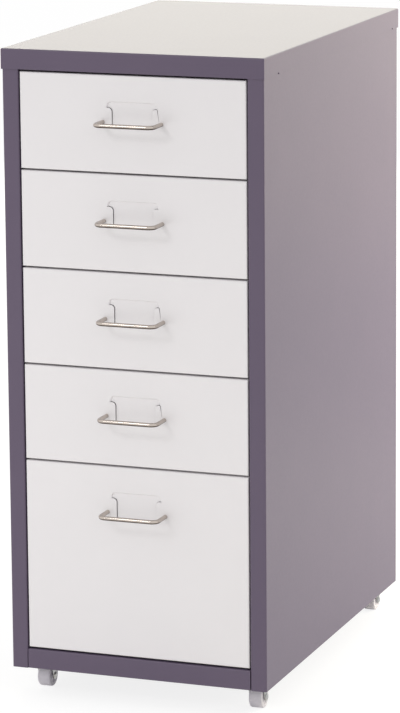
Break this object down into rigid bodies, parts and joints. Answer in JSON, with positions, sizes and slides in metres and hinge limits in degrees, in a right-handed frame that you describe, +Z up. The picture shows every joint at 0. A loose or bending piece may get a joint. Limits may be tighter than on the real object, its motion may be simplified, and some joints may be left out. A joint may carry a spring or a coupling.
{
  "type": "drawer cabinet",
  "caption": "Narrow sheet-steel drawer cabinet on swivel casters, with sliding drawers, wire pulls and pressed label holders.",
  "frame": {"origin": "on the floor below the centre of the overall box, handles and screw heads included", "axes": "+Z up, -Y the way the drawers open, +X to the right seen from the front"},
  "size_m": [0.287, 0.4794, 0.69],
  "materials": {
    "body_paint": "purple-grey powder coat, semi-gloss",
    "drawer_paint": "off-white powder coat, semi-gloss",
    "zinc": "bright zinc plate",
    "nickel_wire": "polished nickel plate",
    "wheel_plastic": "moulded grey nylon"
  },
  "bodies": {
    "cabinet": {"left_side": "body_paint", "right_side": "body_paint", "top_cap": "body_paint", "base_tray": "body_paint", "back_panel": "body_paint", "back_screws": "zinc", "left_front_post": "body_paint", "left_rear_post": "body_paint", "right_front_post": "body_paint", "right_rear_post": "body_paint", "left_rails": "body_paint", "right_rails": "body_paint", "caster_fl_plate": "zinc", "caster_fr_plate": "zinc", "caster_rl_plate": "zinc", "caster_rr_plate": "zinc", "caster_screws": "zinc"},
    "drawer_1": {"drawer_1_front": "drawer_paint", "drawer_1_tray": "drawer_paint", "drawer_1_back": "drawer_paint", "drawer_1_handle": "nickel_wire", "drawer_1_nuts": "zinc"},
    "drawer_2": {"drawer_2_front": "drawer_paint", "drawer_2_tray": "drawer_paint", "drawer_2_back": "drawer_paint", "drawer_2_handle": "nickel_wire", "drawer_2_nuts": "zinc"},
    "drawer_3": {"drawer_3_front": "drawer_paint", "drawer_3_tray": "drawer_paint", "drawer_3_back": "drawer_paint", "drawer_3_handle": "nickel_wire", "drawer_3_nuts": "zinc"},
    "drawer_4": {"drawer_4_front": "drawer_paint", "drawer_4_tray": "drawer_paint", "drawer_4_back": "drawer_paint", "drawer_4_handle": "nickel_wire", "drawer_4_nuts": "zinc"},
    "drawer_5": {"drawer_5_front": "drawer_paint", "drawer_5_tray": "drawer_paint", "drawer_5_back": "drawer_paint", "drawer_5_handle": "nickel_wire", "drawer_5_nuts": "zinc"},
    "swivel_fl": {"caster_fl_fork": "zinc", "caster_fl_axle": "zinc"},
    "wheel_fl": {"caster_fl_wheel": "wheel_plastic"},
    "swivel_fr": {"caster_fr_fork": "zinc", "caster_fr_axle": "zinc"},
    "wheel_fr": {"caster_fr_wheel": "wheel_plastic"},
    "swivel_rl": {"caster_rl_fork": "zinc", "caster_rl_axle": "zinc"},
    "wheel_rl": {"caster_rl_wheel": "wheel_plastic"},
    "swivel_rr": {"caster_rr_fork": "zinc", "caster_rr_axle": "zinc"},
    "wheel_rr": {"caster_rr_wheel": "wheel_plastic"}
  },
  "joints": [
    {"name": "drawer_1_slide", "type": "slide", "parent": "cabinet", "child": "drawer_1", "axis": [0, -1, 0], "range_m": [0, 0.32]},
    {"name": "drawer_2_slide", "type": "slide", "parent": "cabinet", "child": "drawer_2", "axis": [0, -1, 0], "range_m": [0, 0.32]},
    {"name": "drawer_3_slide", "type": "slide", "parent": "cabinet", "child": "drawer_3", "axis": [0, -1, 0], "range_m": [0, 0.32]},
    {"name": "drawer_4_slide", "type": "slide", "parent": "cabinet", "child": "drawer_4", "axis": [0, -1, 0], "range_m": [0, 0.32]},
    {"name": "drawer_5_slide", "type": "slide", "parent": "cabinet", "child": "drawer_5", "axis": [0, -1, 0], "range_m": [0, 0.32]},
    {"name": "caster_fl_swivel", "type": "hinge", "parent": "cabinet", "child": "swivel_fl", "pos_m": [-0.1195, -0.1812, 0.03], "axis": [0, 0, 1], "continuous": true},
    {"name": "caster_fl_roll", "type": "hinge", "parent": "swivel_fl", "child": "wheel_fl", "pos_m": [-0.1195, -0.1722, 0.012], "axis": [1, 0, 0], "continuous": true},
    {"name": "caster_fr_swivel", "type": "hinge", "parent": "cabinet", "child": "swivel_fr", "pos_m": [0.1195, -0.1812, 0.03], "axis": [0, 0, 1], "continuous": true},
    {"name": "caster_fr_roll", "type": "hinge", "parent": "swivel_fr", "child": "wheel_fr", "pos_m": [0.1195, -0.1722, 0.012], "axis": [1, 0, 0], "continuous": true},
    {"name": "caster_rl_swivel", "type": "hinge", "parent": "cabinet", "child": "swivel_rl", "pos_m": [-0.1195, 0.2068, 0.03], "axis": [0, 0, 1], "continuous": true},
    {"name": "caster_rl_roll", "type": "hinge", "parent": "swivel_rl", "child": "wheel_rl", "pos_m": [-0.1195, 0.2158, 0.012], "axis": [1, 0, 0], "continuous": true},
    {"name": "caster_rr_swivel", "type": "hinge", "parent": "cabinet", "child": "swivel_rr", "pos_m": [0.1195, 0.2068, 0.03], "axis": [0, 0, 1], "continuous": true},
    {"name": "caster_rr_roll", "type": "hinge", "parent": "swivel_rr", "child": "wheel_rr", "pos_m": [0.1195, 0.2158, 0.012], "axis": [1, 0, 0], "continuous": true}
  ]
}
